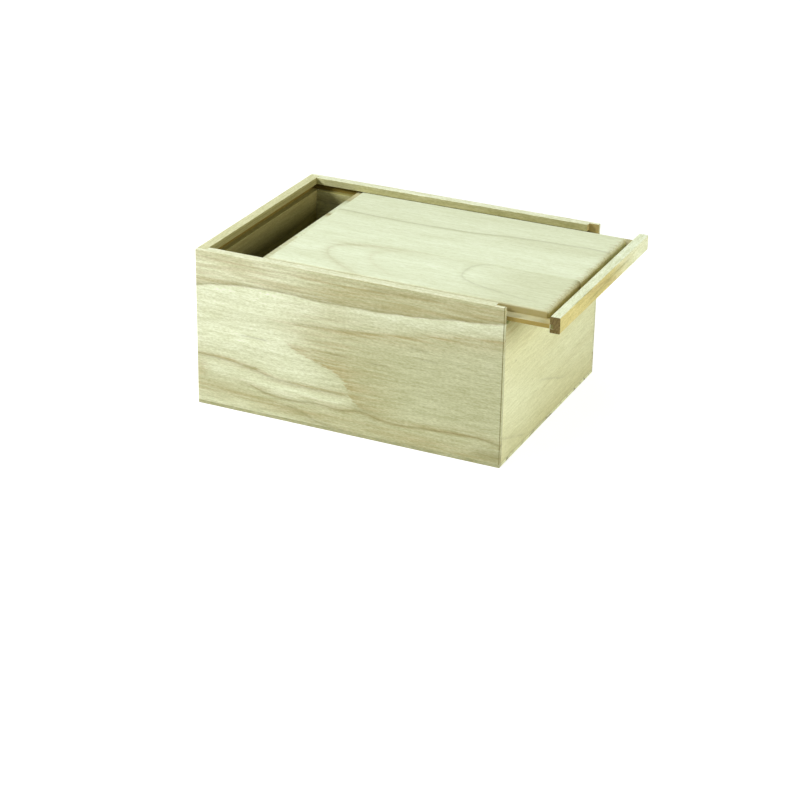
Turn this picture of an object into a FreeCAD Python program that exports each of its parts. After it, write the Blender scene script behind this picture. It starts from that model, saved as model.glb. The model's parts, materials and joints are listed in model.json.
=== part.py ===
import FreeCAD, Part
import os
import Sketcher

# A wooden box with a flat lid that slides out over its right end.
# Millimetres. X runs along the lid's travel, Y from the front side to the back side, Z up.
# The origin is the centre of the underside. Every piece is drawn where it sits with the lid
# closed; the lid's pieces are then placed open by lid_open.

SIZES = (
    ("box_length", 280.0, "outside, along the lid's travel"),
    ("box_width", 214.0, "outside, from front to back"),
    ("box_height", 141.0, "outside, underside to rim"),
    ("side_thickness", 8.5, "front and back boards"),
    ("end_thickness", 9.0, "left and right end boards"),
    ("bottom_thickness", 3.0, "board under the four walls"),
    ("skin", 3.5, "wood left outside the rabbets and the lid grooves"),
    ("rim_over_groove", 6.3, "lid groove's roof below the rim"),
    ("tongue_thickness", 3.7, "thin edge of the lid that runs in the grooves"),
    ("clearance_under", 0.3, "under the tongue, in its groove"),
    ("clearance_over", 1.9, "over the tongue, in its groove"),
    ("clearance_beside", 0.5, "beside the tongue and past the rail's ends"),
    ("field_drop", 1.4, "top of the lid's thick field below the rim"),
    ("field_gap_front", 5.5, "between the field and the front side's inner face"),
    ("field_gap_back", 11.0, "between the field and the back side's inner face"),
    ("field_gap_left", 6.5, "between the field and the left end's inner face"),
    ("field_arris", 2.0, "rounding of the field's long and left edges"),
    ("field_end_round", 3.0, "rounding of the field's right edge"),
    ("front_board_width", 81.0, "front lid board, from the tongue's edge to the glue seam"),
    ("rail_gap", 5.1, "between the field's right end and the rail"),
    ("rail_clearance", 0.3, "behind the rail when the lid is closed"),
    ("rail_drop", 1.5, "rail's top below the rim"),
    ("rail_lip", 3.4, "rail's underside below the tongue"),
    ("rail_lift", 0.3, "between the rail and the right end board"),
    ("rail_housing", 3.0, "depth of the rail's groove, which takes the tongue"),
    ("rail_arris", 1.0, "rounding of the rail's long edges"),
    ("lid_open", 45.0, "how far the lid stands open"),
)

# Places worked out from the sizes, as expressions in the box's frame.
END_X = "(sizes.box_length / 2)"
SHOULDER_X = f"({END_X} - sizes.end_thickness)"
OUTER_Y = "(sizes.box_width / 2)"
SKIN_Y = f"({OUTER_Y} - sizes.skin)"
INNER_Y = f"({OUTER_Y} - sizes.side_thickness)"
WALL_BOTTOM = "sizes.bottom_thickness"
RIM = "sizes.box_height"
GROOVE_TOP = f"({RIM} - sizes.rim_over_groove)"
TONGUE_TOP = f"({GROOVE_TOP} - sizes.clearance_over)"
TONGUE_BOTTOM = f"({TONGUE_TOP} - sizes.tongue_thickness)"
GROOVE_BOTTOM = f"({TONGUE_BOTTOM} - sizes.clearance_under)"
GROOVE_END_X = f"({END_X} - sizes.skin)"
TONGUE_Y = f"({SKIN_Y} - sizes.clearance_beside)"
TONGUE_LEFT = f"(sizes.clearance_beside - {GROOVE_END_X})"
SEAM_Y = f"(sizes.front_board_width - {TONGUE_Y})"
FIELD_FRONT = f"(sizes.field_gap_front - {INNER_Y})"
FIELD_BACK = f"({INNER_Y} - sizes.field_gap_back)"
FIELD_LEFT = f"(sizes.field_gap_left - {SHOULDER_X})"
FIELD_TOP = f"({RIM} - sizes.field_drop)"
RAIL_X = f"({SHOULDER_X} + sizes.rail_clearance)"
RAIL_TOP = f"({RIM} - sizes.rail_drop)"
RAIL_BOTTOM = f"({TONGUE_BOTTOM} - sizes.rail_lip)"
HOUSING_X = f"({RAIL_X} + sizes.rail_housing)"
FIELD_RIGHT = f"({RAIL_X} - sizes.rail_gap)"
RIGHT_END_TOP = f"({RAIL_BOTTOM} - sizes.rail_lift)"

doc = FreeCAD.newDocument("sliding_lid_box")


def fill_sheet():
    """One row for each driving size: its name, its value and what it measures."""
    sheet = doc.addObject("Spreadsheet::Sheet", "sizes")
    for row, (alias, value, note) in enumerate(SIZES, start=1):
        sheet.set(f"A{row}", alias)
        sheet.set(f"B{row}", str(value))
        sheet.setAlias(f"B{row}", alias)
        sheet.set(f"C{row}", note)
    doc.recompute()
    return sheet


def value_of(expression):
    """The number that an expression on the sheet gives, in millimetres."""
    return float(sheet.evalExpression(expression))


def minus(expression):
    return f"-1 * {expression}"


# Building blocks -------------------------------------------------------------------------


def new_body(name):
    body = doc.addObject("PartDesign::Body", name)
    body.Label = name
    return body


def origin_plane(body, role):
    return next(plane for plane in body.Origin.OriginFeatures if plane.Role == role)


def outline(body, name, role, corners, height=None):
    """A closed outline of straight lines on one of the body's own planes.

    Every corner is a pair of expressions, and height lifts the plane along its normal.
    """
    sketch = body.newObject("Sketcher::SketchObject", name)
    sketch.AttachmentSupport = [(origin_plane(body, role), "")]
    sketch.MapMode = "FlatFace"
    if height is not None:
        sketch.setExpression("AttachmentOffset.Base.z", height)
    points = [FreeCAD.Vector(value_of(x), value_of(y), 0) for x, y in corners]
    count = len(points)
    for i in range(count):
        sketch.addGeometry(Part.LineSegment(points[i], points[(i + 1) % count]))
    for i in range(count):
        sketch.addConstraint(Sketcher.Constraint("Coincident", i, 2, (i + 1) % count, 1))
    for i, (x, y) in enumerate(corners):
        for kind, place, number in (("DistanceX", x, points[i].x), ("DistanceY", y, points[i].y)):
            index = sketch.addConstraint(Sketcher.Constraint(kind, -1, 1, i, 1, number))
            sketch.setExpression(f"Constraints[{index}]", place)
    doc.recompute()
    return sketch


def rectangle(body, name, role, x_range, y_range, height=None):
    (x0, x1), (y0, y1) = x_range, y_range
    return outline(body, name, role, ((x0, y0), (x1, y0), (x1, y1), (x0, y1)), height)


def pad(body, name, sketch, length, symmetric=False):
    feature = body.newObject("PartDesign::Pad", name)
    feature.Profile = sketch
    feature.SideType = "Symmetric" if symmetric else "One side"
    feature.setExpression("Length", length)
    doc.recompute()
    return feature


def fillet(body, name, base, radius, is_wanted):
    """Rounds the edges of base whose middle point passes the test is_wanted."""
    names = []
    for number, edge in enumerate(base.Shape.Edges, start=1):
        middle = edge.valueAt((edge.FirstParameter + edge.LastParameter) / 2)
        if is_wanted(middle, edge.BoundBox):
            names.append(f"Edge{number}")
    feature = body.newObject("PartDesign::Fillet", name)
    feature.Base = (base, names)
    feature.setExpression("Radius", radius)
    doc.recompute()
    return feature


def near(number, expression):
    return abs(number - value_of(expression)) < 1e-4


# The box ---------------------------------------------------------------------------------


def side_board(name, turn):
    """A long wall: lid groove along its inner face and a full height rabbet at each end.

    Both sides are the same board. It is drawn as the front one, and turn brings it round.
    """
    body = new_body(name)
    outer, floor, inner = minus(OUTER_Y), minus(SKIN_Y), minus(INNER_Y)
    section = outline(body, f"{name}_section", "YZ_Plane", (
        (outer, WALL_BOTTOM), (inner, WALL_BOTTOM),
        (inner, GROOVE_BOTTOM), (floor, GROOVE_BOTTOM),
        (floor, GROOVE_TOP), (inner, GROOVE_TOP),
        (inner, RIM), (outer, RIM),
    ))
    board = pad(body, f"{name}_board", section, "sizes.box_length", symmetric=True)

    corner = rectangle(body, f"{name}_corner", "XY_Plane", (SHOULDER_X, END_X), (floor, inner))
    rabbet = body.newObject("PartDesign::Pocket", f"{name}_rabbet")
    rabbet.Profile = corner
    rabbet.Type = "ThroughAll"
    rabbet.Reversed = True
    doc.recompute()
    other_rabbet = body.newObject("PartDesign::Mirrored", f"{name}_other_rabbet")
    other_rabbet.Originals = [rabbet]
    other_rabbet.MirrorPlane = (origin_plane(body, "YZ_Plane"), "")
    body.Tip = other_rabbet
    doc.recompute()

    wood_above_and_below = f"({RIM} - {WALL_BOTTOM} - ({GROOVE_TOP} - {GROOVE_BOTTOM}))"
    cut = value_of(f"2 * sizes.end_thickness * ({INNER_Y} - {SKIN_Y}) * {wood_above_and_below}")
    left = board.Shape.Volume - abs(cut)
    if abs(body.Shape.Volume - left) > 1e-6 * left:
        raise RuntimeError(f"{name}: the end rabbets have the wrong volume")

    body.Placement.Rotation = FreeCAD.Rotation(FreeCAD.Vector(0, 0, 1), turn)
    return body


def left_end():
    """Full height end wall between the sides' skins, with the groove that stops the lid."""
    body = new_body("left_end")
    outer, floor, inner = minus(END_X), minus(GROOVE_END_X), minus(SHOULDER_X)
    section = outline(body, "left_end_section", "XZ_Plane", (
        (outer, WALL_BOTTOM), (inner, WALL_BOTTOM),
        (inner, GROOVE_BOTTOM), (floor, GROOVE_BOTTOM),
        (floor, GROOVE_TOP), (inner, GROOVE_TOP),
        (inner, RIM), (outer, RIM),
    ))
    pad(body, "left_end_board", section, f"2 * {SKIN_Y}", symmetric=True)
    return body


def right_end():
    """Lower end wall: the lid's tongue and rail pass over it."""
    body = new_body("right_end")
    section = rectangle(body, "right_end_section", "XZ_Plane",
                        (SHOULDER_X, END_X), (WALL_BOTTOM, RIGHT_END_TOP))
    pad(body, "right_end_board", section, f"2 * {SKIN_Y}", symmetric=True)
    return body


def bottom_board():
    """Thin board glued under the four walls, flush with their outsides."""
    body = new_body("bottom_board")
    plan = rectangle(body, "bottom_board_plan", "XY_Plane",
                     (minus(END_X), END_X), (minus(OUTER_Y), OUTER_Y))
    pad(body, "bottom_board_board", plan, "sizes.bottom_thickness")
    return body


# The lid ---------------------------------------------------------------------------------


def lid_board(name, tongue_edge, field_edge):
    """A board of the lid, from the glue seam out to one of the grooves.

    The tongue is the whole board at its thin lower part, and the field stands on it.
    """
    body = new_body(name)
    tongue_plan = rectangle(body, f"{name}_tongue_plan", "XY_Plane",
                            (TONGUE_LEFT, HOUSING_X), (SEAM_Y, tongue_edge), TONGUE_BOTTOM)
    pad(body, f"{name}_tongue", tongue_plan, "sizes.tongue_thickness")
    field_plan = rectangle(body, f"{name}_field_plan", "XY_Plane",
                           (FIELD_LEFT, FIELD_RIGHT), (SEAM_Y, field_edge), TONGUE_TOP)
    field = pad(body, f"{name}_field", field_plan, f"{FIELD_TOP} - {TONGUE_TOP}")

    def is_right_edge(middle, box):
        return near(box.ZMin, FIELD_TOP) and near(box.XMin, FIELD_RIGHT)

    rounded_end = fillet(body, f"{name}_end_round", field, "sizes.field_end_round", is_right_edge)

    def is_arris(middle, box):
        is_left_edge = near(box.ZMin, FIELD_TOP) and near(box.XMax, FIELD_LEFT)
        on_long_face = near(box.YMin, field_edge) and near(box.YMax, field_edge)
        is_long_edge = on_long_face and near(box.ZMax, FIELD_TOP) and middle.z > box.ZMin - 1e-4
        is_upright = box.ZMax - box.ZMin > value_of("sizes.field_end_round") + 1e-4
        return is_left_edge or (is_long_edge and not is_upright)

    fillet(body, f"{name}_arris", rounded_end, "sizes.field_arris", is_arris)
    body.setExpression("Placement.Base.x", "sizes.lid_open")
    return body


def lid_rail():
    """Pull rail across the lid's right end, with a groove that takes the tongue."""
    body = new_body("lid_rail")
    section = outline(body, "lid_rail_section", "XZ_Plane", (
        (RAIL_X, RAIL_BOTTOM), (END_X, RAIL_BOTTOM),
        (END_X, RAIL_TOP), (RAIL_X, RAIL_TOP),
        (RAIL_X, TONGUE_TOP), (HOUSING_X, TONGUE_TOP),
        (HOUSING_X, TONGUE_BOTTOM), (RAIL_X, TONGUE_BOTTOM),
    ))
    board = pad(body, "lid_rail_board", section, f"2 * {TONGUE_Y}", symmetric=True)

    def is_long_edge(middle, box):
        is_level = near(middle.z, RAIL_TOP) or (near(middle.z, RAIL_BOTTOM) and near(middle.x, END_X))
        return is_level and abs(middle.y) < 1e-4

    fillet(body, "lid_rail_arris", board, "sizes.rail_arris", is_long_edge)
    body.setExpression("Placement.Base.x", "sizes.lid_open")
    return body


# The whole box ---------------------------------------------------------------------------

sheet = fill_sheet()
pieces = (
    side_board("front_side", 0),
    side_board("back_side", 180),
    left_end(),
    right_end(),
    bottom_board(),
    lid_board("lid_board_front", minus(TONGUE_Y), FIELD_FRONT),
    lid_board("lid_board_back", TONGUE_Y, FIELD_BACK),
    lid_rail(),
)
doc.recompute()

for item in doc.Objects:
    if "Invalid" in item.State or "Error" in item.State:
        raise RuntimeError(f"{item.Label} could not be made: {item.State}")
for piece in pieces:
    if piece.Shape.isNull() or not piece.Shape.isValid():
        raise RuntimeError(f"{piece.Label} has no sound shape")

os.makedirs("parts", exist_ok=True)
for piece in pieces:
    piece.Shape.exportStep(f"parts/{piece.Label}.step")
    box = piece.Shape.BoundBox
    print(f"{piece.Label}: x {box.XMin:.2f} to {box.XMax:.2f}, y {box.YMin:.2f} to {box.YMax:.2f}, "
          f"z {box.ZMin:.2f} to {box.ZMax:.2f}, {piece.Shape.Volume / 1000:.2f} cm3")
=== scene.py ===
import json
import math
from collections import namedtuple

import bmesh
import bpy
from mathutils import Matrix, Vector

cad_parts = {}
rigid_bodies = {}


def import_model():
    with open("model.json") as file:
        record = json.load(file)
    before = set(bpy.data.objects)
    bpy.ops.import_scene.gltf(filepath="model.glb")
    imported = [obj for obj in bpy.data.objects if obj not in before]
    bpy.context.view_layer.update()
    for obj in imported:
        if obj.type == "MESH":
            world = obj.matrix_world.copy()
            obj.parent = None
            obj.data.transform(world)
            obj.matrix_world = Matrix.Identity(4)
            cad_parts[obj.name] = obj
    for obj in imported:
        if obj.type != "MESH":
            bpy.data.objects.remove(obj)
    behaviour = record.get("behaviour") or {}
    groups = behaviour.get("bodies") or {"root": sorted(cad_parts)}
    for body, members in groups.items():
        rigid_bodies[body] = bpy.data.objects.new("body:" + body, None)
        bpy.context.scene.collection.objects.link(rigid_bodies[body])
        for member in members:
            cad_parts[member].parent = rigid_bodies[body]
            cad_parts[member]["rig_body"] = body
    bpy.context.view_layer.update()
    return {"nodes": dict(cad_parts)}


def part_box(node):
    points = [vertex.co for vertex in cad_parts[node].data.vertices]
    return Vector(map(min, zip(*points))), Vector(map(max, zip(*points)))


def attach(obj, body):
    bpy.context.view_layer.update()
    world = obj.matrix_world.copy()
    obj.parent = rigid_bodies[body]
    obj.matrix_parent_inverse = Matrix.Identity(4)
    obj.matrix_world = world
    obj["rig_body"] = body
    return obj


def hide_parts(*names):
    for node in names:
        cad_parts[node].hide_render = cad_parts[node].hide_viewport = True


# Looks for a paulownia box with a sliding lid. Metres; X along the lid's travel, Y from the
# front side to the back side, Z up. Wood figures are drawn in millimetres on each board.

bl_info = {
    "name": "Sliding Lid Box",
    "version": (1, 0, 0),
    "blender": (4, 5, 0),
    "location": "View3D > Sidebar > Sliding Lid Box",
    "description": "Sanded, figured wood for the boards of a box with a sliding lid",
    "category": "Object",
}

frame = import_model()


def paint(code):
    """Linear colour of a six digit sRGB code."""
    parts = [int(code[i:i + 2], 16) / 255 for i in (0, 2, 4)]
    return tuple(c / 12.92 if c <= 0.04045 else ((c + 0.055) / 1.055) ** 2.4 for c in parts)


# Settings --------------------------------------------------------------------------------


def colour_setting(name, description, code):
    return bpy.props.FloatVectorProperty(
        name=name, description=description, subtype="COLOR", size=3, min=0.0, max=1.0,
        default=paint(code))


def length_setting(name, description, default):
    return bpy.props.FloatProperty(
        name=name, description=description, subtype="DISTANCE", unit="LENGTH",
        min=0.0, precision=5, default=default)


def level_setting(name, description, default):
    return bpy.props.FloatProperty(
        name=name, description=description, subtype="FACTOR", min=0.0, max=1.0, default=default)


class BoxWoodSettings(bpy.types.PropertyGroup):
    """Colours of the bare wood."""

    cream: colour_setting("Cream", "Palest wood of the walls", "F6FBD6")
    olive: colour_setting("Olive", "Duller wood of the walls", "C3C494")
    tan: colour_setting("Tan", "Heartwood bands", "B5A468")
    ring: colour_setting("Ring", "Dark latewood lines", "7F7A41")
    lid_pale: colour_setting("Lid Pale", "Palest wood of the lid", "F2FBD8")
    lid_dull: colour_setting("Lid Dull", "Duller wood of the lid", "D8DDB4")
    end_pale: colour_setting("End Pale", "Palest wood of the end boards", "E9EBBD")
    end_dull: colour_setting("End Dull", "Duller wood of the end boards", "CFCA92")
    rail_yellow: colour_setting("Rail Yellow", "Yellow wood of the rail", "D8CC84")
    end_grain: colour_setting("End Grain", "Thirsty end grain", "7A683A")
    end_lines: colour_setting("End Lines", "Rings where they show on end grain", "4F3D18")
    saw_cut: colour_setting("Saw Cut", "Faces browned by a hot cutter", "AD9850")
    # Inside tint: partly the inner wood's own browner tone, partly painted shade inside the box.
    inner_tone_and_shade: colour_setting(
        "Indoors", "What the unsanded inner faces keep of their colour", "C4BC88")


class BoxMakingSettings(bpy.types.PropertyGroup):
    """How the boards are cut, sanded and glued."""

    arris: length_setting("Arris", "Easing of the outer edges", 0.00045)
    glue_line: length_setting("Glue Line", "Easing of edges that are glued flush", 0.00015)
    grid: length_setting("Grid", "Spacing of the mesh on a board's faces", 0.009)
    sanding_depth: length_setting("Sanding Depth", "How deep hand sanding dips", 0.00010)
    sanding_wave: length_setting("Sanding Wave", "Distance between dips", 0.035)


class BoxStageSettings(bpy.types.PropertyGroup):
    """Camera and light."""

    focal_length: bpy.props.FloatProperty(
        name="Focal Length", description="Millimetres on a 36 mm sensor", min=1.0, default=101.71)
    azimuth: bpy.props.FloatProperty(
        name="Azimuth", description="Camera's turn from straight in front, towards the right",
        subtype="ANGLE", default=math.radians(24.632))
    elevation: bpy.props.FloatProperty(
        name="Elevation", description="Camera's downward tilt", subtype="ANGLE",
        default=math.radians(24.982))
    roll: bpy.props.FloatProperty(
        name="Roll", description="Camera's turn about its own axis", subtype="ANGLE",
        default=math.radians(1.044))
    place: bpy.props.FloatVectorProperty(
        name="Place", description="Camera's position", subtype="XYZ", unit="LENGTH",
        default=(0.75015, -1.63344, 0.82477))
    sky: level_setting("Sky", "Even light from all round", 0.12)
    overhead: level_setting("Overhead", "Wide soft light from above", 0.33)
    key: level_setting("Key", "Softbox in front on the left", 0.71)
    fill: level_setting("Fill", "Broad softbox on the right", 0.54)


# Node trees ------------------------------------------------------------------------------


class Graph:
    """A node tree in which one call adds one node and returns its output."""

    def __init__(self, tree):
        self.tree = tree

    def node(self, kind, inputs=None, **settings):
        made = self.tree.nodes.new(kind)
        for name, value in settings.items():
            setattr(made, name, value)
        for key, value in (inputs or {}).items():
            self.feed(value, made.inputs[key])
        return made

    def feed(self, value, socket):
        if isinstance(value, bpy.types.NodeSocket):
            self.tree.links.new(value, socket)
        else:
            socket.default_value = value

    def maths(self, operation, *values, clamp=False):
        made = self.node("ShaderNodeMath", dict(enumerate(values)), operation=operation)
        made.use_clamp = clamp
        return made.outputs[0]

    def vector_maths(self, operation, a, b):
        return self.node("ShaderNodeVectorMath", {0: a, 1: b}, operation=operation).outputs[0]

    def noise(self, vector, size, detail=2.0, roughness=0.5):
        """Noise from 0 to 1 whose grains measure size, three lengths."""
        scaled = self.vector_maths("DIVIDE", vector, size)
        return self.node("ShaderNodeTexNoise", {
            "Vector": scaled, "Scale": 1.0, "Detail": detail, "Roughness": roughness,
        }).outputs["Fac"]

    def spread(self, value, low, high, to_low=0.0, to_high=1.0):
        """Eases value from low to high over to_low to to_high, and holds it beyond."""
        return self.node("ShaderNodeMapRange", {
            "Value": value, "From Min": low, "From Max": high,
            "To Min": to_low, "To Max": to_high,
        }, interpolation_type="SMOOTHSTEP").outputs[0]

    def mix(self, factor, a, b, blend="MIX"):
        made = self.node("ShaderNodeMix", data_type="RGBA", blend_type=blend)
        for socket, value in ((made.inputs[0], factor), (made.inputs[6], a), (made.inputs[7], b)):
            self.feed((*value, 1.0) if isinstance(value, tuple) else value, socket)
        return made.outputs[2]

    def curve(self, value, points, width, height):
        """A smooth curve through points, read at value."""
        made = self.node("ShaderNodeFloatCurve", {"Value": self.maths("DIVIDE", value, width)})
        line = made.mapping.curves[0]
        for spot, (x, y) in zip((line.points[0], line.points[1]), (points[0], points[-1])):
            spot.location = (x / width, y / height)
        for x, y in points[1:-1]:
            line.points.new(x / width, y / height)
        made.mapping.update()
        return self.maths("MULTIPLY", made.outputs[0], height)

    def group(self, tree, inputs):
        made = self.node("ShaderNodeGroup", node_tree=tree)
        for key, value in inputs.items():
            self.feed(value, made.inputs[key])
        return made.outputs


def new_group(name, kind, inputs, outputs):
    """An empty node group with named sockets, as a Graph, its inputs and its output node."""
    tree = bpy.data.node_groups.new(name, kind)
    for label, socket, default in inputs:
        made = tree.interface.new_socket(label, in_out="INPUT", socket_type=socket)
        if default is not None:
            made.default_value = default
    for label, socket in outputs:
        tree.interface.new_socket(label, in_out="OUTPUT", socket_type=socket)
    graph = Graph(tree)
    return graph, graph.node("NodeGroupInput").outputs, graph.node("NodeGroupOutput").inputs


VECTOR, NUMBER = "NodeSocketVector", "NodeSocketFloat"


def fibre_group():
    """Fibres and vessels, long along X of a place in millimetres."""
    graph, given, out = new_group("wood_fibre", "ShaderNodeTree",
        (("Place", VECTOR, None), ("Seed", NUMBER, 0.0)),
        (("Speckle", NUMBER), ("Streak", NUMBER), ("Broad", NUMBER), ("Vessels", NUMBER)))
    shift = graph.vector_maths("MULTIPLY", given["Seed"], (311.0, 127.0, 71.0))
    place = graph.vector_maths("ADD", given["Place"], shift)
    sway = graph.maths("MULTIPLY", graph.noise(place, (85.0, 30.0, 30.0)), 5.0)
    bend = graph.node("ShaderNodeCombineXYZ", {1: sway}).outputs[0]
    place = graph.vector_maths("ADD", place, bend)
    graph.feed(graph.noise(place, (3.2, 1.0, 1.0), 3.0, 0.6), out["Speckle"])
    graph.feed(graph.noise(place, (20.0, 2.2, 2.2), 3.0, 0.6), out["Streak"])
    graph.feed(graph.noise(place, (130.0, 14.0, 14.0), 2.0), out["Broad"])
    dash = graph.spread(graph.noise(place, (6.0, 0.35, 0.35), 1.0), 0.62, 0.74)
    belt = graph.spread(graph.noise(place, (120.0, 5.0, 5.0), 1.0), 0.42, 0.62)
    graph.feed(graph.maths("MULTIPLY", dash, belt), out["Vessels"])
    return graph.tree


def growth_line_group():
    """How strongly a growth line shows at a distance above it, fading on both sides."""
    graph, given, out = new_group("growth_line", "ShaderNodeTree",
        (("Distance", NUMBER, 0.0), ("Above", NUMBER, 1.0), ("Below", NUMBER, 1.0),
         ("Strength", NUMBER, 1.0)),
        (("Mask", NUMBER),))
    over = graph.maths("DIVIDE", graph.maths("MAXIMUM", given["Distance"], 0.0), given["Above"])
    under = graph.maths("DIVIDE", graph.maths("MINIMUM", given["Distance"], 0.0), given["Below"])
    away = graph.maths("SUBTRACT", under, over)
    shown = graph.maths("EXPONENT", away)
    graph.feed(graph.maths("MULTIPLY", shown, given["Strength"]), out["Mask"])
    return graph.tree


def growth_arch_group():
    """Distance from an arch of a flat sawn board, which opens along X from its Nose."""
    graph, given, out = new_group("growth_arch", "ShaderNodeTree",
        (("Place", VECTOR, None), ("Nose", VECTOR, None), ("Power", NUMBER, 2.0),
         ("Flare", NUMBER, 30.0), ("Lean", NUMBER, 0.0)),
        (("Distance", NUMBER),))
    gap = graph.node("ShaderNodeSeparateXYZ", {
        0: graph.vector_maths("SUBTRACT", given["Place"], given["Nose"])}).outputs
    leant = graph.maths("SUBTRACT", gap[1], graph.maths("MULTIPLY", gap[0], given["Lean"]))
    across = graph.maths("MAXIMUM", graph.maths("ABSOLUTE", leant), 0.01)
    reach = graph.maths("DIVIDE", graph.maths("POWER", across, given["Power"]), given["Flare"])
    slope = graph.maths("DIVIDE", graph.maths("MULTIPLY", reach, given["Power"]), across)
    steepness = graph.maths("SQRT", graph.maths("MULTIPLY_ADD", slope, slope, 1.0))
    graph.feed(graph.maths("DIVIDE", graph.maths("SUBTRACT", gap[0], reach), steepness),
               out["Distance"])
    return graph.tree


def growth_rings_group():
    """Rings about a heart that lies Heart Across and Heart Below off the board's middle."""
    graph, given, out = new_group("growth_rings", "ShaderNodeTree",
        (("Place", VECTOR, None), ("Heart Across", NUMBER, 0.0), ("Heart Below", NUMBER, 60.0),
         ("Ring Width", NUMBER, 9.0), ("Lean", NUMBER, 0.05), ("Seed", NUMBER, 0.0)),
        (("Rings", NUMBER),))
    shift = graph.vector_maths("MULTIPLY", given["Seed"], (53.0, 211.0, 97.0))
    shifted = graph.vector_maths("ADD", given["Place"], shift)
    part = graph.node("ShaderNodeSeparateXYZ", {0: given["Place"]}).outputs
    across = graph.maths("SUBTRACT", part[1], given["Heart Across"])
    deep = graph.maths("ADD", part[2], given["Heart Below"])
    reach = graph.maths("SQRT", graph.maths(
        "ADD", graph.maths("MULTIPLY", across, across), graph.maths("MULTIPLY", deep, deep)))
    wander = graph.maths("MULTIPLY", graph.noise(shifted, (130.0, 45.0, 45.0), 2.0), 26.0)
    leant = graph.maths("MULTIPLY", part[0], given["Lean"])
    ring = graph.maths("DIVIDE", graph.maths("ADD", graph.maths("ADD", reach, wander), leant),
                       given["Ring Width"])
    late = graph.maths("POWER", graph.maths("FRACT", ring), 5.0)
    early = graph.spread(graph.maths("FRACT", ring), 0.0, 0.08, 1.0, 0.0)
    year = graph.node("ShaderNodeTexWhiteNoise", {"W": graph.maths("FLOOR", ring)},
                      noise_dimensions="1D").outputs["Value"]
    line = graph.maths("MAXIMUM", late, graph.maths("MULTIPLY", early, 0.5))
    graph.feed(graph.maths("MULTIPLY", line, graph.spread(year, 0.0, 1.0, 0.15, 1.0)), out["Rings"])
    return graph.tree


SHARED = {}


def shared(maker):
    """The node group that maker builds, built once."""
    if maker.__name__ not in SHARED:
        SHARED[maker.__name__] = maker()
    return SHARED[maker.__name__]


# Wood figures ----------------------------------------------------------------------------

# Millimetres along and across the boards that the figures are drawn on.
SIDE_SIZE = (280.0, 141.0)
END_SIZE = (207.0, 141.0)
BOTTOM_SIZE = (280.0, 214.0)
LID_SIZE = (271.0, 206.0)
RAIL_SIZE = (206.0, 16.0)

# Places well past a board's two ends, and a fade that reaches right across it.
START, END = -400, 600
ALL_OVER = 900.0

# How far the lines waver to either side, and how far the soft bands fray along the grain.
WAVER, FRAY = 1.4, 11.0

# A growth line runs through points (mm along the grain, mm across it). Its tone fades away
# over the given mm above and below. It shows from span[0] to span[1], and comes and goes
# over ramp mm.
GrowthLine = namedtuple("GrowthLine", "tone points above below strength span ramp",
                        defaults=((START, END), 18.0))

# An arch opens along the grain from its nose. Its tone fades over the given mm to both sides.
GrowthArch = namedtuple("GrowthArch", "tone nose power flare lean fade strength length")

HEART_EDGE = ((0, 109), (20, 113), (40, 115.4), (80, 116.6), (112, 115.8), (140, 115.8),
              (170, 116.6), (200, 118.4), (230, 121.6), (260, 124.6), (280, 126.6))
LIMB = ((0, 91), (74, 92), (104, 92), (140, 93), (172, 97), (200, 100), (230, 105),
        (260, 109.4), (280, 112))
FLAME = ((0, 90), (60, 89), (74, 83), (86, 71), (104, 64), (124, 57), (138, 50), (143, 39),
         (148, 32), (155, 27), (180, 22), (280, 15))
DOUBLE_RING = ((0, 47.4), (24, 47.4), (40, 45.4), (60, 42), (76, 38), (90, 37), (120, 37),
               (140, 37.4), (280, 38))
LOW_RING = ((0, 29), (50, 27), (66, 22), (88, 20.4), (112, 22.6), (136, 21), (158, 24),
            (172, 20), (190, 19.6), (220, 21.6), (250, 23), (280, 20))

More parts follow.
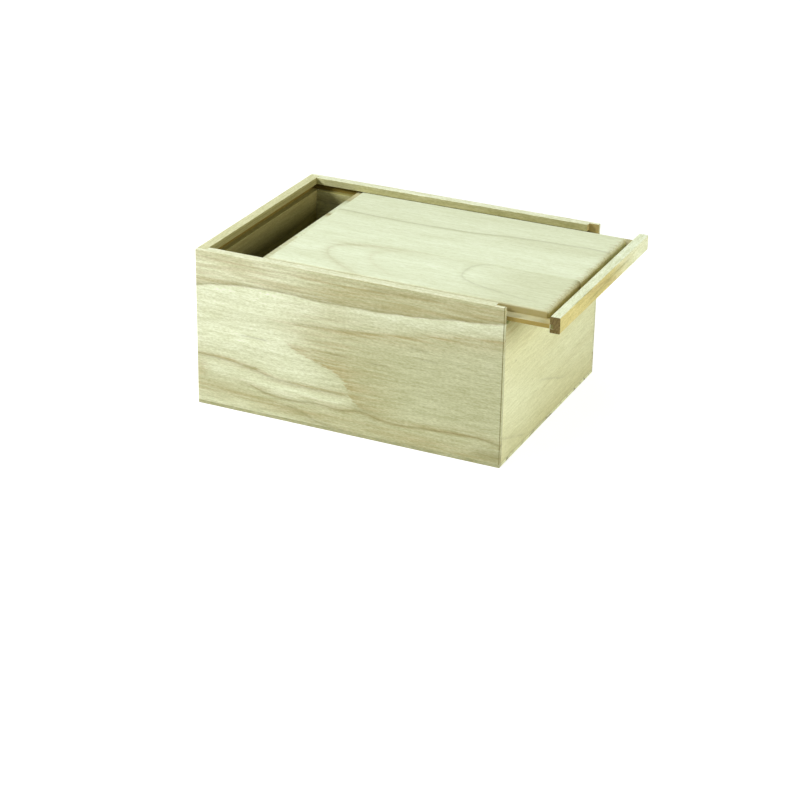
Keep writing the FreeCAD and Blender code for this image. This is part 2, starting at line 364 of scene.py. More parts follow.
FRONT_FIGURE = (
    GrowthLine("olive", ((0, 70), (280, 55)), 300.0, 300.0, 0.85, (64, END), 100.0),
    GrowthLine("olive", ((0, 22), (140, 10), (280, 8)), 22.0, 12.0, 0.75),
    GrowthLine("cream", HEART_EDGE, 0.6, 15.0, 0.80),
    GrowthLine("cream", ((0, 36), (50, 32), (90, 30), (140, 30), (280, 30)), 4.0, 5.0, 0.85,
               (38, 152), 22.0),
    GrowthLine("tan", HEART_EDGE, 60.0, 0.7, 0.50),
    GrowthLine("tan", ((0, 136), (90, 133), (180, 134), (280, 137)), 5.0, 3.0, 0.55),
    GrowthLine("tan", ((0, 120), (60, 124), (150, 126), (280, 131)), 1.6, 1.6, 0.55),
    GrowthLine("tan", LIMB, 3.0, 8.0, 0.62, (56, END), 46.0),
    GrowthLine("tan", FLAME, 50.0, 0.7, 0.60, (62, 210), 70.0),
    GrowthLine("tan", FLAME, 9.0, 0.7, 0.72, (74, 166), 26.0),
    GrowthLine("tan", ((0, 34), (280, 34)), 14.0, 14.0, 0.50, (START, 14), 10.0),
    GrowthLine("tan", ((0, 18), (70, 14), (280, 6)), 6.0, 9.0, 0.50),
    GrowthLine("tan", DOUBLE_RING, 1.6, 3.4, 0.62, (START, 150), 14.0),
    GrowthLine("tan", LOW_RING, 3.4, 3.0, 0.55, (20, END), 40.0),
    GrowthLine("ring", HEART_EDGE, 1.8, 0.5, 0.50),
    GrowthLine("ring", ((0, 121), (50, 123), (90, 120.5), (170, 119), (280, 129)), 0.8, 0.8, 0.22,
               (50, END), 30.0),
    GrowthLine("ring", ((0, 133), (150, 134), (190, 135), (280, 136)), 1.2, 1.2, 0.28,
               (150, 230), 16.0),
    GrowthLine("ring", ((0, 47), (50, 43), (76, 37.2), (140, 36.6), (280, 38)), 0.7, 1.4, 0.34,
               (START, 146), 12.0),
    GrowthLine("ring", LOW_RING, 0.8, 1.0, 0.50, (34, END), 30.0),
    GrowthLine("ring", ((0, 25), (150, 25), (172, 21), (280, 18)), 3.6, 3.6, 0.32, (140, 178),
               12.0),
    GrowthLine("ring", ((0, 16), (96, 13), (112, 7), (140, 3), (280, 1)), 1.0, 2.5, 0.38,
               (70, 160), 20.0),
    GrowthLine("ring", ((0, 4), (280, 9)), 4.0, 5.0, 0.42, (250, END), 14.0),
    GrowthLine("ring", ((0, 70.8), (280, 70.8)), 0.6, 0.6, 0.50, (120, 146), 8.0),
    GrowthLine("ring", ((0, 70.2), (280, 69.6)), 0.5, 0.5, 0.45, (158, 184), 8.0),
    GrowthLine("ring", ((0, 70.5), (280, 70.5)), 0.6, 0.6, 0.35, (38, 72), 8.0),
    GrowthLine("ring", ((0, 94), (200, 90.5), (280, 87)), 0.6, 0.6, 0.35, (194, 218), 8.0),
    GrowthLine("ring", ((0, 86), (208, 82.5), (280, 81)), 0.5, 0.5, 0.35, (202, 228), 8.0),
    GrowthLine("ring", ((0, 93), (140, 94), (280, 112)), 0.6, 0.6, 0.28, (84, 172), 20.0),
    # A dark stripe down the right-hand end of the face, beside the eased corner.
    GrowthLine("ring", ((0, 70), (280, 70)), ALL_OVER, ALL_OVER, 0.90, (278.9, 279.87), 0.25),
)

BACK_FIGURE = (
    GrowthLine("olive", ((0, 60), (280, 90)), 200.0, 200.0, 0.55, (START, 190), 120.0),
    GrowthLine("cream", ((0, 96), (90, 92), (170, 84), (280, 82)), 10.0, 14.0, 0.6),
    GrowthLine("tan", ((0, 20), (90, 26), (170, 21), (280, 12)), 0.7, 40.0, 0.45),
    GrowthLine("tan", ((0, 118), (80, 112), (190, 114), (280, 121)), 7.0, 2.0, 0.40),
    GrowthLine("ring", ((0, 20), (90, 26), (170, 21), (280, 12)), 0.5, 1.4, 0.40),
    GrowthLine("ring", ((0, 118), (80, 112), (190, 114), (280, 121)), 1.8, 0.8, 0.35),
    GrowthLine("ring", ((0, 54), (70, 58), (150, 52), (230, 55), (280, 61)), 0.9, 1.6, 0.32,
               (60, END), 40.0),
)

LID_FRONT_FIGURE = (
    GrowthLine("olive", ((0, 50), (271, 50)), ALL_OVER, ALL_OVER, 0.60, (170, END), 60.0),
    GrowthLine("olive", ((0, 78), (271, 78)), 3.0, 5.0, 0.35, (40, 215), 50.0),
    GrowthLine("tan", ((0, 100), (271, 100)), ALL_OVER, ALL_OVER, 0.40, (START, 13.5), 2.0),
    GrowthLine("tan", ((0, 50), (271, 50)), ALL_OVER, ALL_OVER, 0.45, (256, END), 7.0),
    GrowthLine("ring", ((0, 79), (271, 79)), 3.0, 6.0, 0.55, (256, END), 5.0),
    GrowthLine("ring", ((0, 0), (271, 0)), 12.0, 12.0, 1.0, (267.5, END), 0.3),
    GrowthLine("ring", ((0, 100), (271, 100)), ALL_OVER, ALL_OVER, 0.45, (START, 1.0), 0.6),
    GrowthArch("tan", (47.5, 53.0), 2.2, 45.0, -0.22, 4.2, 0.30, 110.0),
    GrowthArch("ring", (47.5, 53.0), 2.2, 45.0, -0.22, 1.6, 0.09, 90.0),
    GrowthArch("tan", (86.0, 56.0), 2.2, 45.0, -0.20, 3.0, 0.18, 70.0),
    GrowthArch("ring", (169.5, 58.5), 3.2, 1320.0, 0.0, 1.4, 0.24, 110.0),
)

LID_BACK_FIGURE = (
    GrowthLine("olive", ((0, 190), (271, 190)), 40.0, 40.0, 0.45),
    GrowthLine("ring", ((0, 141.8), (13.5, 141.5), (51, 139.8), (86, 139), (113.5, 139.8),
                        (141, 141.5), (163.5, 145.3), (183.5, 148), (211, 150.5), (233.5, 152.3),
                        (257, 151), (271, 150)), 1.1, 1.8, 0.30),
    GrowthLine("olive", ((0, 141), (51, 139.5), (113.5, 139.5), (163.5, 145), (211, 150),
                         (271, 150)), 1.2, 5.0, 0.60),
    GrowthLine("olive", ((0, 136), (163, 140), (271, 143)), 7.0, 10.0, 0.65, (140, END), 50.0),
    GrowthLine("tan", ((0, 150), (271, 150)), ALL_OVER, ALL_OVER, 0.45, (256, END), 7.0),
    GrowthLine("ring", ((0, 178), (271, 178)), 4.0, 4.0, 0.45, (START, 9), 3.0),
    GrowthLine("ring", ((0, 141), (271, 141)), 3.0, 3.0, 0.40, (START, 8), 3.0),
    GrowthLine("tan", ((0, 141), (271, 141)), 3.0, 4.0, 0.80, (START, 11), 3.0),
    GrowthLine("ring", ((0, 206), (271, 206)), 12.0, 12.0, 1.0, (267.5, END), 0.3),
    GrowthLine("ring", ((0, 150), (271, 150)), ALL_OVER, ALL_OVER, 0.45, (START, 1.0), 0.6),
)

RIGHT_END_FIGURE_AND_SHADOW = (
    GrowthLine("olive", ((0, 4), (205, 4)), 26.0, 10.0, 0.75),
    # The olive and tan bands along the top are painted shadow of the lid and rail that overhang
    # this board.
    GrowthLine("olive", ((0, 128), (205, 128)), 10.0, 26.0, 1.0),
    GrowthLine("tan", ((0, 128), (205, 128)), 10.0, 18.0, 0.80, (-60, 200), 80.0),
    GrowthLine("ring", ((0, 3), (205, 3)), 0.6, 0.6, 0.45),
    GrowthLine("cream", ((0, 62), (60, 44), (205, 20)), 30.0, 30.0, 0.8, (-60, 90), 60.0),
    GrowthLine("olive", ((0, 60), (80, 45), (112, 34), (140, 24), (205, 12)), 7.0, 3.0, 0.40,
               (90, END), 40.0),
    GrowthLine("ring", ((0, 60), (80, 45), (112, 34), (140, 24), (205, 12)), 1.8, 1.0, 0.20,
               (70, 150), 20.0),
    GrowthLine("ring", ((0, 25), (22, 17), (60, 6), (205, 2)), 2.5, 1.0, 0.20, (START, 60), 20.0),
    GrowthLine("ring", ((0, 85), (205, 84)), 0.6, 0.6, 0.55, (22, 26), 2.0),
)

LEFT_END_FIGURE = (
    GrowthLine("olive", ((0, 70), (205, 70)), ALL_OVER, ALL_OVER, 0.9),
    GrowthLine("tan", ((0, 131), (100, 132), (205, 130)), 2.5, 9.0, 0.65),
    GrowthLine("tan", ((0, 96), (100, 90), (205, 98)), 6.0, 14.0, 0.55),
    GrowthLine("ring", ((0, 138.6), (60, 138), (140, 138.8), (205, 138)), 0.5, 0.7, 0.45),
    GrowthLine("ring", ((0, 136.4), (90, 136.8), (205, 136)), 0.5, 0.6, 0.30),
    GrowthLine("cream", ((0, 70), (100, 82), (205, 78)), 14.0, 16.0, 0.55),
    GrowthLine("olive", ((0, 30), (90, 36), (205, 24)), 4.0, 14.0, 0.45),
    GrowthLine("ring", ((0, 30), (90, 36), (205, 24)), 0.8, 1.6, 0.30),
    GrowthLine("ring", ((0, 112), (70, 105), (140, 107), (205, 114)), 2.0, 0.8, 0.30),
)

BOTTOM_FIGURE = (
    # A dark line along the board's front edge: partly the front board's own low tone, partly
    # painted contact shadow at the foot.
    GrowthLine("ring", ((0, 0), (280, 0)), 3.0, 3.0, 0.55),
)

RAIL_FIGURE = (
    GrowthLine("olive", ((0, 11), (206, 11)), ALL_OVER, ALL_OVER, 1.0, (START, 190), 90.0),
    GrowthLine("tan", ((0, 15), (50, 14), (90, 10), (125, 3), (206, -12)), 2.2, 4.0, 0.55,
               (36, 150), 30.0),
    GrowthLine("ring", ((0, 1), (60, 4), (90, 6), (120, 8), (150, 8.5), (206, 11)), 1.4, 1.6,
               0.40, (50, 170), 30.0),
    GrowthLine("ring", ((0, 10), (206, 10)), 1.0, 1.2, 0.35, (108, 124), 6.0),
)


def drawn_masks(graph, place, figure, width, height):
    """How much of each tone a figure lays at a place on the board."""
    waver = graph.maths("MULTIPLY_ADD", graph.noise(place, (34.0, 9.0, 9.0), 3.0),
                        2 * WAVER, -WAVER)
    spot = graph.vector_maths("ADD", place,
                              graph.node("ShaderNodeCombineXYZ", {1: waver}).outputs[0])
    fray = graph.maths("MULTIPLY_ADD", graph.noise(place, (9.0, 1.1, 1.1), 2.0),
                       2 * FRAY, -FRAY)
    frayed = graph.vector_maths("ADD", spot,
                                graph.node("ShaderNodeCombineXYZ", {0: fray}).outputs[0])
    smooth_part = graph.node("ShaderNodeSeparateXYZ", {0: spot}).outputs
    frayed_part = graph.node("ShaderNodeSeparateXYZ", {0: frayed}).outputs
    masks = {"olive": 0.0, "cream": 0.0, "tan": 0.0, "ring": 0.0}
    for line in figure:
        if isinstance(line, GrowthArch):
            distance = graph.group(shared(growth_arch_group), {
                "Place": spot, "Nose": (*line.nose, 0.0), "Power": line.power,
                "Flare": line.flare, "Lean": line.lean})["Distance"]
            flat = graph.vector_maths("MULTIPLY", spot, (1.0, 1.0, 0.0))
            far = graph.node("ShaderNodeVectorMath", {0: flat, 1: (*line.nose, 0.0)},
                             operation="DISTANCE").outputs["Value"]
            shown = graph.spread(far, 0.3 * line.length, line.length, 1.0, 0.0)
            above = below = line.fade
        else:
            part = smooth_part if line.tone == "ring" else frayed_part
            path = graph.curve(part[0], line.points, width, height)
            distance = graph.maths("SUBTRACT", part[1], path)
            start, end = line.span
            shown = graph.maths("MULTIPLY", graph.spread(part[0], start, start + line.ramp),
                                graph.spread(part[0], end - line.ramp, end, 1.0, 0.0))
            above, below = line.above, line.below
        mask = graph.group(shared(growth_line_group), {
            "Distance": distance, "Above": above, "Below": below,
            "Strength": graph.maths("MULTIPLY", shown, line.strength),
        })["Mask"]
        masks[line.tone] = graph.maths("MAXIMUM", masks[line.tone], mask)
    patchy = graph.spread(graph.noise(place, (60.0, 3.0, 3.0), 3.0), 0.3, 0.7, 0.40, 1.30)
    masks["tan"] = graph.maths("MULTIPLY", masks["tan"], patchy, clamp=True)
    return masks


# Wood materials --------------------------------------------------------------------------


def board_place(graph, corner, axes):
    """Millimetres from a corner of the board: along the grain, across it and through it.

    axes gives the board's X, Y or Z for each, with a minus sign where it runs backwards.
    """
    spot = graph.node("ShaderNodeTexCoord").outputs["Object"]
    near = graph.vector_maths("SUBTRACT", spot, tuple(corner))
    part = graph.node("ShaderNodeSeparateXYZ", {0: near}).outputs
    millimetres = 1000.0
    turned = []
    for axis in axes:
        scale = -millimetres if axis.startswith("-") else millimetres
        turned.append(graph.maths("MULTIPLY", part["XYZ".index(axis[-1])], scale))
    return graph.node("ShaderNodeCombineXYZ", dict(enumerate(turned))).outputs[0]


def wood_material(name, corner, axes, pale, dull, seed, figure, size, rings=None,
                  end_darkness=0.3, edge_paleness=0.7, grain=0.16):
    """Bare sanded wood, solid through the board, with drawn lines or rings about a heart."""
    wood = bpy.context.scene.box_wood
    material = bpy.data.materials.new(name)
    material.use_nodes = True
    graph = Graph(material.node_tree)
    shader = material.node_tree.nodes["Principled BSDF"]
    place = board_place(graph, corner, axes)
    fibre = graph.group(shared(fibre_group), {"Place": place, "Seed": seed})
    facing = graph.node("ShaderNodeTexCoord").outputs["Normal"]
    turns = graph.node("ShaderNodeSeparateXYZ", {0: facing}).outputs
    along, across = (turns["XYZ".index(axis[-1])] for axis in axes[:2])
    endwise = graph.spread(graph.maths("ABSOLUTE", along), 0.5, 0.95)
    edgewise = graph.spread(graph.maths("ABSOLUTE", across), 0.5, 0.95, 0.0, edge_paleness)

    masks = drawn_masks(graph, place, figure, *size)
    if rings:
        ring = graph.group(shared(growth_rings_group), {"Place": place, "Seed": seed, **rings})
        shown = graph.spread(endwise, 0.0, 1.0, 0.12, 0.9)
        masks["ring"] = graph.maths("MAXIMUM", masks["ring"],
                                    graph.maths("MULTIPLY", ring["Rings"], shown))
    tone = graph.spread(fibre["Broad"], 0.3, 0.7, 0.0, 0.30)
    colour = graph.mix(tone, tuple(pale), tuple(dull))
    colour = graph.mix(masks["olive"], colour, tuple(dull))
    colour = graph.mix(masks["cream"], colour, tuple(pale))
    colour = graph.mix(masks["tan"], colour, tuple(wood.tan))
    colour = graph.mix(edgewise, colour, tuple(pale))
    colour = graph.mix(graph.maths("MULTIPLY", endwise, end_darkness), colour,
                       tuple(wood.end_grain))
    line_tone = graph.mix(endwise, tuple(wood.ring), tuple(wood.end_lines))
    colour = graph.mix(masks["ring"], colour, line_tone)
    speckle = graph.spread(fibre["Speckle"], 0.2, 0.8, 1.0 + grain, 1.0 - grain)
    streak = graph.spread(fibre["Streak"], 0.2, 0.8, 1.0 + 0.8 * grain, 1.0 - 0.8 * grain)
    shade = graph.maths("MULTIPLY", speckle, streak)
    colour = graph.mix(1.0, colour, graph.node("ShaderNodeCombineColor", {
        0: shade, 1: shade, 2: graph.maths("POWER", shade, 1.6)}).outputs[0], "MULTIPLY")
    colour = graph.mix(graph.maths("MULTIPLY", fibre["Vessels"], 0.25), colour, tuple(wood.ring))

    cut = graph.node("ShaderNodeAttribute", attribute_name="saw_cut").outputs["Fac"]
    colour = graph.mix(cut, colour, tuple(wood.saw_cut))
    # Inside tint, multiplied in: the inner wood's own tone with painted shade, darker deeper in the
    # box and in the grooves.
    inner = graph.node("ShaderNodeAttribute", attribute_name="inner_tone_and_shade").outputs["Fac"]
    colour = graph.mix(inner, colour, tuple(wood.inner_tone_and_shade), "MULTIPLY")

    height = graph.maths("SUBTRACT", graph.maths("MULTIPLY", fibre["Speckle"], 0.5),
                         fibre["Vessels"])
    bump = graph.node("ShaderNodeBump", {"Strength": 0.5, "Distance": 0.0001, "Height": height})
    graph.feed(colour, shader.inputs["Base Color"])
    graph.feed(graph.spread(fibre["Streak"], 0.3, 0.7, 0.72, 0.84), shader.inputs["Roughness"])
    graph.feed(bump.outputs[0], shader.inputs["Normal"])
    shader.inputs["Specular IOR Level"].default_value = 0.25
    return material


# Boards ----------------------------------------------------------------------------------


def sanding_tree():
    """Dips a board's faces a little, as hand sanding does, and gives it its wood."""
    graph, given, out = new_group("hand_sanding", "GeometryNodeTree",
        (("Geometry", "NodeSocketGeometry", None), ("Depth", NUMBER, 0.0001),
         ("Wave", NUMBER, 0.03), ("Seed", NUMBER, 0.0), ("Material", "NodeSocketMaterial", None)),
        (("Geometry", "NodeSocketGeometry"),))
    place = graph.node("GeometryNodeInputPosition").outputs[0]
    shift = graph.vector_maths("MULTIPLY", given["Seed"], (0.31, 0.17, 0.23))
    size = graph.node("ShaderNodeCombineXYZ",
                      {0: given["Wave"], 1: given["Wave"], 2: given["Wave"]}).outputs[0]
    dip = graph.noise(graph.vector_maths("ADD", place, shift), size, 1.0)
    depth = graph.maths("MULTIPLY", dip, graph.maths("MULTIPLY", given["Depth"], -1.0))
    inward = graph.node("ShaderNodeVectorMath", {
        0: graph.node("GeometryNodeInputNormal").outputs[0], "Scale": depth},
        operation="SCALE").outputs[0]
    moved = graph.node("GeometryNodeSetPosition",
                       {"Geometry": given["Geometry"], "Offset": inward}).outputs[0]
    whole = graph.node("GeometryNodeRealizeInstances", {0: moved}).outputs[0]
    covered = graph.node("GeometryNodeSetMaterial",
                         {"Geometry": whole, "Material": given["Material"]}).outputs[0]
    graph.feed(covered, out["Geometry"])
    return graph.tree


HAIR = 1e-5  # places closer together than this count as one
WELD = 1e-6  # corners closer together than this are made one
FACING = 0.9  # a face looks along an axis if its normal has more than this there
CORNER = math.radians(50)  # faces that meet at less than this are one surface


def on_bounds(point, low, high, axes=range(3)):
    """True where a point lies on one of a box's faces, those across the given axes."""
    return any(min(abs(point[i] - low[i]), abs(point[i] - high[i])) < HAIR for i in axes)


def is_within(point, low, high, slack=2 * HAIR):
    """True where a point lies in a box or on its faces."""
    return all(low[i] - slack < point[i] < high[i] + slack for i in range(3))


def inner_room():
    """The lowest and the highest corner of the box's inside, up to its rim."""
    front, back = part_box("front_side"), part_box("back_side")
    room_low = Vector((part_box("left_end")[1].x, front[1].y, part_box("bottom_board")[1].z))
    room_high = Vector((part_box("right_end")[0].x, back[0].y, front[1].z))
    return room_low, room_high


def notch_cut(middle, normal, low, high):
    """Most on the faces of grooves and rabbets that don't lie level."""
    if on_bounds(middle, low, high):
        return 0.0
    return 0.1 if normal.z > FACING else 0.85


def lid_cut(middle, normal, low, high):
    """Most on the tongue's and the field's upright edges, and some on the ledges at the sides.

    The glue seam and what the rail hides are as bare as the wide faces.
    """
    rail_low, rail_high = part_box("lid_rail")
    on_seam = abs(normal.y) > FACING and abs(middle.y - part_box("lid_board_front")[1].y) < HAIR
    if on_seam or middle.x > rail_low.x:
        return 0.0
    is_below_field = middle.z < high.z - 0.005
    is_near_side = abs(middle.y) > 0.8 * rail_high.y
    if normal.z > FACING and is_below_field and is_near_side:
        return 0.5
    sideways = 1.0 if on_bounds(middle, low, high, [1]) else 0.8
    most = 0.35 if abs(normal.x) > abs(normal.y) else sideways
    return most * (1.0 - abs(normal.z))


def nothing_cut(middle, normal, low, high):
    """Nothing, on a board with no groove or rabbet."""
    return 0.0


def inner_tone_and_depth_shade(depth):
    """How dull the inner faces are at a depth, from 0 at the rim to 1 at the floor."""
    at_rim, gained, haste = 0.66, 0.34, 2.5
    return at_rim + gained * min(1.0, haste * depth)


def cut_places(corners, grid):
    """Places about grid apart between neighbouring corners, so that none lies close to one."""
    corners = sorted({round(corner, 6) for corner in corners})
    places = []
    for low, high in zip(corners, corners[1:]):
        steps = max(1, round((high - low) / grid))
        places += [low + (high - low) * step / steps for step in range(1, steps)]
    return places


def part_faces(bm, node, beside):
    """Cuts the faces on a grid, and where the boards beside a wide board end."""
    grid = bpy.context.scene.box_making.grid
    low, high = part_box(node)
    for axis in range(3):
        normal = [float(i == axis) for i in range(3)]
        corners = [vert.co[axis] for vert in bm.verts]
        is_wide = high[axis] - low[axis] > 2 * grid
        met = [corner[axis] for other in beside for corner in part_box(other)
               if is_wide and low[axis] + HAIR < corner[axis] < high[axis] - HAIR]
        for place in [*sorted(set(met)), *cut_places(corners + met, grid)]:
            bmesh.ops.bisect_plane(bm, geom=bm.verts[:] + bm.edges[:] + bm.faces[:],
                                   plane_co=[n * place for n in normal], plane_no=normal,
                                   dist=WELD)


def weight_edges(bm, beside, room):
    """Eases the outer edges, glued ones less, and keeps the inner ones and the room's sharp."""
    making = bpy.context.scene.box_making
    weights = bm.edges.layers.float.new("bevel_weight_edge")
    for edge in bm.edges:
        if edge.calc_face_angle() < CORNER:
            continue
        middle = (edge.verts[0].co + edge.verts[1].co) / 2
        glued = any(is_within(middle, *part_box(other), 5 * HAIR) for other in beside)
        in_room = room and is_within(middle, *room)
        if not edge.is_convex or (glued and in_room):
            edge.smooth = False
        else:
            edge[weights] = making.glue_line / making.arris if glued else 1.0


def mark_faces(bm, node, cut_of, room):
    """Notes on each face how browned it is by the cutter, and how far inside the box."""
    low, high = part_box(node)
    cut = bm.faces.layers.float.new("saw_cut")
    inner = bm.faces.layers.float.new("inner_tone_and_shade")
    for face in bm.faces:
        middle = face.calc_center_median()
        face.smooth = True
        face[cut] = cut_of(middle, face.normal, low, high)
        if room and is_within(middle, *room):
            floor, rim = room[0].z, room[1].z
            face[inner] = inner_tone_and_depth_shade((rim - middle.z) / (rim - floor))
        # Grooves and rabbets inside the box take the whole tint: painted shade in the hollows.
        elif room and middle.x < room[1].x and not on_bounds(middle, low, high):
            face[inner] = 1.0


def bare_board(node, cut_of):
    """The CAD board with its faces parted and marked, and its edges weighted for easing."""
    body = frame["nodes"][node]["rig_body"]
    beside = [n for n, o in frame["nodes"].items() if o["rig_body"] == body and n != node]
    room = inner_room() if body == "box" else None
    bm = bmesh.new()
    bm.from_mesh(frame["nodes"][node].data)
    bmesh.ops.remove_doubles(bm, verts=bm.verts, dist=WELD)
    bmesh.ops.dissolve_limit(bm, angle_limit=math.radians(0.5), verts=bm.verts, edges=bm.edges)
    part_faces(bm, node, beside)
    weight_edges(bm, beside, room)
    mark_faces(bm, node, cut_of, room)
    mesh = bpy.data.meshes.new(node)
    bm.to_mesh(mesh)
    bm.free()
    return mesh


def make_board(node, body, material, seed, cut_of=nothing_cut):
    """One board as a piece: eased, sanded and covered with its wood, in place of its node."""
    making = bpy.context.scene.box_making
    board = bpy.data.objects.new(f"{node}_sanded", bare_board(node, cut_of))
    bpy.context.scene.collection.objects.link(board)
    easing = board.modifiers.new("easing", "BEVEL")
    easing.width = making.arris
    easing.limit_method = "WEIGHT"
    easing.segments = 3
    sanding = board.modifiers.new("sanding", "NODES")
    sanding.node_group = shared(sanding_tree)
    sockets = {item.name: item.identifier for item in sanding.node_group.interface.items_tree
               if item.in_out == "INPUT"}
    for name, value in (("Depth", making.sanding_depth), ("Wave", making.sanding_wave),
                        ("Seed", float(seed)), ("Material", material)):
        sanding[sockets[name]] = value
    board.modifiers.new("even_shading", "WEIGHTED_NORMAL").keep_sharp = True
    evaluated = board.evaluated_get(bpy.context.evaluated_depsgraph_get())
    finished = bpy.data.meshes.new_from_object(evaluated)
    board.modifiers.clear()
    board.data = finished
    finished.name = board.name
    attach(board, body)
    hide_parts(node)
    return board


class BoxOperator:
    """What the operators share."""

    bl_options = {"REGISTER", "UNDO"}


class BOX_OT_side_boards(BoxOperator, bpy.types.Operator):
    """Make the front and back side boards"""

    bl_idname = "sliding_lid_box.side_boards"
    bl_label = "Side Boards"

    def execute(self, context):
        wood = context.scene.box_wood
        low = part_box("front_side")[0]
        front = wood_material("front_side_wood", Vector((low.x, low.y, 0.0)), ("X", "Z", "Y"),
                              wood.cream, wood.olive, 1, FRONT_FIGURE, SIDE_SIZE,
                              end_darkness=0.1)
        make_board("front_side", "box", front, 1, notch_cut)
        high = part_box("back_side")[1]
        back = wood_material("back_side_wood", Vector((high.x, high.y, 0.0)), ("-X", "Z", "-Y"),
                             wood.cream, wood.olive, 2, BACK_FIGURE, SIDE_SIZE,
                             end_darkness=0.1)
        make_board("back_side", "box", back, 2, notch_cut)
        return {"FINISHED"}


class BOX_OT_end_boards(BoxOperator, bpy.types.Operator):
    """Make the grooved left end and the low right end"""

    bl_idname = "sliding_lid_box.end_boards"
    bl_label = "End Boards"

    def execute(self, context):
        wood = context.scene.box_wood
        low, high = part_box("left_end")
        left = wood_material("left_end_wood", Vector((low.x, high.y, 0.0)), ("-Y", "Z", "X"),
                             wood.end_pale, wood.end_dull, 3, LEFT_END_FIGURE, END_SIZE,
                             grain=0.14)
        make_board("left_end", "box", left, 3, notch_cut)
        low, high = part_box("right_end")
        right = wood_material("right_end_wood_and_shadow", Vector((high.x, low.y, 0.0)), ("Y", "Z", "-X"),
                              wood.end_pale, wood.end_dull, 4, RIGHT_END_FIGURE_AND_SHADOW, END_SIZE,
                              grain=0.10)
        make_board("right_end", "box", right, 4)
        return {"FINISHED"}


class BOX_OT_bottom_board(BoxOperator, bpy.types.Operator):
    """Make the bottom board"""

    bl_idname = "sliding_lid_box.bottom_board"
    bl_label = "Bottom Board"

    def execute(self, context):
        wood = context.scene.box_wood
        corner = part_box("bottom_board")[0]
        material = wood_material("bottom_wood", corner, ("X", "Y", "Z"),
                                 wood.end_pale, wood.olive, 5, BOTTOM_FIGURE, BOTTOM_SIZE,
                                 end_darkness=0.0,
                                 rings={"Heart Across": 90.0, "Heart Below": 70.0,
                                        "Ring Width": 10.0, "Lean": 0.08})
        make_board("bottom_board", "box", material, 5)
        return {"FINISHED"}


class BOX_OT_lid_boards(BoxOperator, bpy.types.Operator):
    """Make the two edge glued boards of the lid"""

    bl_idname = "sliding_lid_box.lid_boards"
    bl_label = "Lid Boards"

    def execute(self, context):
        wood = context.scene.box_wood
        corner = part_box("lid_board_front")[0]
        for node, figure, seed in (("lid_board_front", LID_FRONT_FIGURE, 6),
                                   ("lid_board_back", LID_BACK_FIGURE, 7)):
            material = wood_material(f"{node}_wood", corner, ("X", "Y", "Z"),
                                     wood.lid_pale, wood.lid_dull, seed, figure, LID_SIZE,
                                     end_darkness=0.1, grain=0.075)
            make_board(node, "lid", material, seed, lid_cut)
        return {"FINISHED"}


class BOX_OT_lid_rail(BoxOperator, bpy.types.Operator):
    """Make the pull rail"""

    bl_idname = "sliding_lid_box.lid_rail"
    bl_label = "Lid Rail"

    def execute(self, context):
        wood = context.scene.box_wood
        low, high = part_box("lid_rail")
        material = wood_material("rail_wood", Vector((high.x, low.y, low.z)), ("Y", "Z", "-X"),
                                 wood.lid_pale, wood.rail_yellow, 8, RAIL_FIGURE, RAIL_SIZE,
                                 end_darkness=0.95, edge_paleness=0.9,
                                 rings={"Heart Across": -20.0, "Heart Below": 26.0,
                                        "Ring Width": 1.7, "Lean": 0.02})
        make_board("lid_rail", "lid", material, 8)
        return {"FINISHED"}


# Stage -----------------------------------------------------------------------------------


def lamp(name, direction, distance, size, level):
    """A square softbox aimed at the box. At level 1 a face square on to it gets its colour."""
    light = bpy.data.lights.new(name, "AREA")
    light.size = size
    light.energy = level * math.pi ** 2 * distance ** 2
    made = bpy.data.objects.new(name, light)
    aim = Vector((0.02, 0.0, 0.07))
    towards = Vector(direction).normalized()
    made.location = aim + towards * distance
    made.rotation_euler = towards.to_track_quat("Z", "Y").to_euler()
    made.visible_camera = False
    bpy.context.scene.collection.objects.link(made)


def overhead_light(level):
    """A wide, even light from above and a little to the left."""
    light = bpy.data.lights.new("overhead", "SUN")
    light.angle = math.radians(62)
    light.energy = level * math.pi
    made = bpy.data.objects.new("overhead", light)
    made.rotation_euler = Vector((-0.35, -0.05, 1.0)).to_track_quat("Z", "Y").to_euler()
    bpy.context.scene.collection.objects.link(made)


def floor_material():
    """White to the camera, with a soft shadow, and clear from below."""
    material = bpy.data.materials.new("floor")
    material.use_nodes = True
    material.node_tree.nodes.clear()
    graph = Graph(material.node_tree)
    seen = graph.node("ShaderNodeLightPath").outputs
    direct = graph.maths("MAXIMUM", seen["Is Camera Ray"], seen["Is Glossy Ray"])
    glow = graph.node("ShaderNodeEmission", {"Strength": 0.76}).outputs[0]
    dim = graph.node("ShaderNodeBsdfDiffuse", {"Color": (0.5, 0.5, 0.5, 1.0)}).outputs[0]
    plain = graph.node("ShaderNodeBsdfDiffuse", {"Color": (0.8, 0.8, 0.8, 1.0)}).outputs[0]
    white = graph.node("ShaderNodeAddShader", {0: glow, 1: dim}).outputs[0]
    top = graph.node("ShaderNodeMixShader", {0: direct, 1: plain, 2: white}).outputs[0]
    below = graph.node("ShaderNodeNewGeometry").outputs["Backfacing"]
    clear = graph.node("ShaderNodeBsdfTransparent").outputs[0]
    both = graph.node("ShaderNodeMixShader", {0: below, 1: top, 2: clear}).outputs[0]
    graph.node("ShaderNodeOutputMaterial", {"Surface": both})
    return material


def sky(level):
    """Even light from all round; the camera sees plain white."""
    world = bpy.data.worlds.new("studio")
    world.use_nodes = True
    world.node_tree.nodes.clear()
    graph = Graph(world.node_tree)
    seen = graph.node("ShaderNodeLightPath").outputs
    direct = graph.maths("MAXIMUM", seen["Is Camera Ray"],
                         graph.maths("MAXIMUM", seen["Is Glossy Ray"], seen["Is Transmission Ray"]))
    strength = graph.spread(direct, 0.0, 1.0, level, 1.0)
    back = graph.node("ShaderNodeBackground", {"Strength": strength}).outputs[0]
    graph.node("ShaderNodeOutputWorld", {"Surface": back})
    bpy.context.scene.world = world


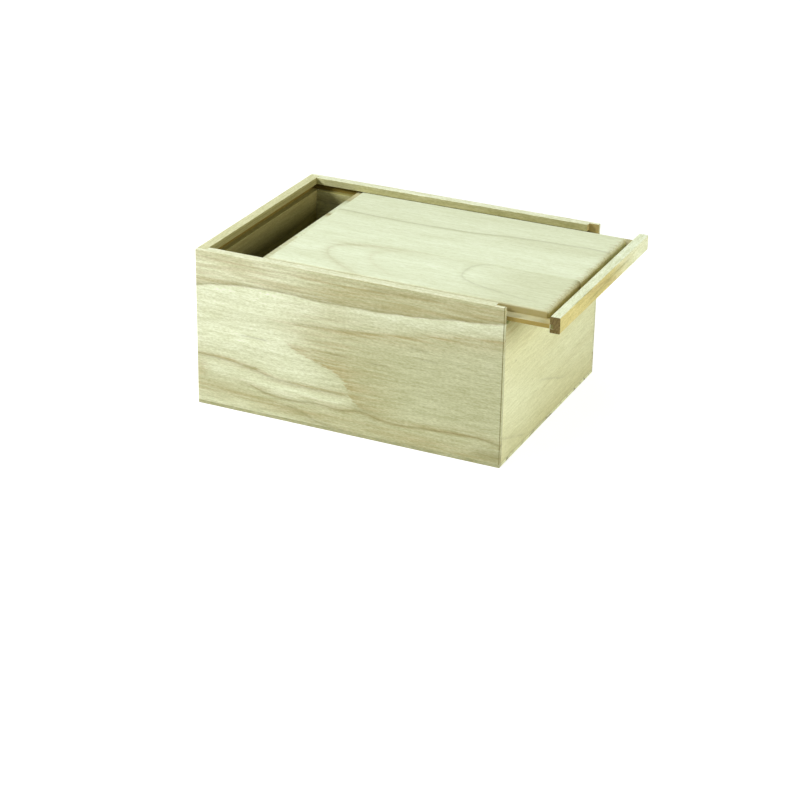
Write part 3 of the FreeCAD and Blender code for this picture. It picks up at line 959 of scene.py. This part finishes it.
class BOX_OT_stage(BoxOperator, bpy.types.Operator):
    """Make the floor, the lights and the camera"""

    bl_idname = "sliding_lid_box.stage"
    bl_label = "Stage"

    def execute(self, context):
        stage = context.scene.box_stage
        mesh = bpy.data.meshes.new("floor")
        half, drop = 6.0, 0.0001
        corners = [(-half, -half, -drop), (half, -half, -drop),
                   (half, half, -drop), (-half, half, -drop)]
        mesh.from_pydata(corners, [], [(0, 1, 2, 3)])
        mesh.materials.append(floor_material())
        floor = bpy.data.objects.new("floor", mesh)
        context.scene.collection.objects.link(floor)

        sky(stage.sky)
        overhead_light(stage.overhead)
        lamp("key_softbox", direction=(-0.70, -0.51, 0.50), distance=2.2, size=0.5,
             level=stage.key)
        lamp("fill_softbox", direction=(0.93, -0.05, 0.35), distance=1.6, size=0.8,
             level=stage.fill)

        camera = bpy.data.objects.new("camera", bpy.data.cameras.new("camera"))
        context.scene.collection.objects.link(camera)
        camera.data.sensor_width = 36.0
        camera.data.lens = stage.focal_length
        back = Vector((math.sin(stage.azimuth) * math.cos(stage.elevation),
                       -math.cos(stage.azimuth) * math.cos(stage.elevation),
                       math.sin(stage.elevation)))
        right = Vector((math.cos(stage.azimuth), math.sin(stage.azimuth), 0.0))
        level = Matrix((right, back.cross(right), back)).transposed()
        turned = level @ Matrix.Rotation(stage.roll, 3, "Z")
        camera.matrix_world = Matrix.Translation(stage.place) @ turned.to_4x4()
        context.scene.camera = camera
        context.scene.view_settings.view_transform = "Standard"
        return {"FINISHED"}


# Panel -----------------------------------------------------------------------------------

MAKERS = (BOX_OT_side_boards, BOX_OT_end_boards, BOX_OT_bottom_board, BOX_OT_lid_boards,
          BOX_OT_lid_rail, BOX_OT_stage)
SETTINGS = (("box_wood", BoxWoodSettings), ("box_making", BoxMakingSettings),
            ("box_stage", BoxStageSettings))


class BOX_PT_sliding_lid_box(bpy.types.Panel):
    """Sidebar panel that lists the pieces and their settings"""

    bl_label = "Sliding Lid Box"
    bl_idname = "BOX_PT_sliding_lid_box"
    bl_space_type = "VIEW_3D"
    bl_region_type = "UI"
    bl_category = "Sliding Lid Box"

    def draw(self, context):
        for maker in MAKERS:
            self.layout.operator(maker.bl_idname)
        for name, group in SETTINGS:
            column = self.layout.column(heading=group.__doc__)
            for setting in group.__annotations__:
                column.prop(getattr(context.scene, name), setting)


def register():
    for name, group in SETTINGS:
        bpy.utils.register_class(group)
        setattr(bpy.types.Scene, name, bpy.props.PointerProperty(type=group))
    for maker in MAKERS:
        bpy.utils.register_class(maker)
    bpy.utils.register_class(BOX_PT_sliding_lid_box)


def unregister():
    bpy.utils.unregister_class(BOX_PT_sliding_lid_box)
    for maker in reversed(MAKERS):
        bpy.utils.unregister_class(maker)
    for name, group in reversed(SETTINGS):
        delattr(bpy.types.Scene, name)
        bpy.utils.unregister_class(group)


def main():
    register()
    for maker in MAKERS:
        area, name = maker.bl_idname.split(".")
        getattr(getattr(bpy.ops, area), name)()


if __name__ == "__main__":
    main()
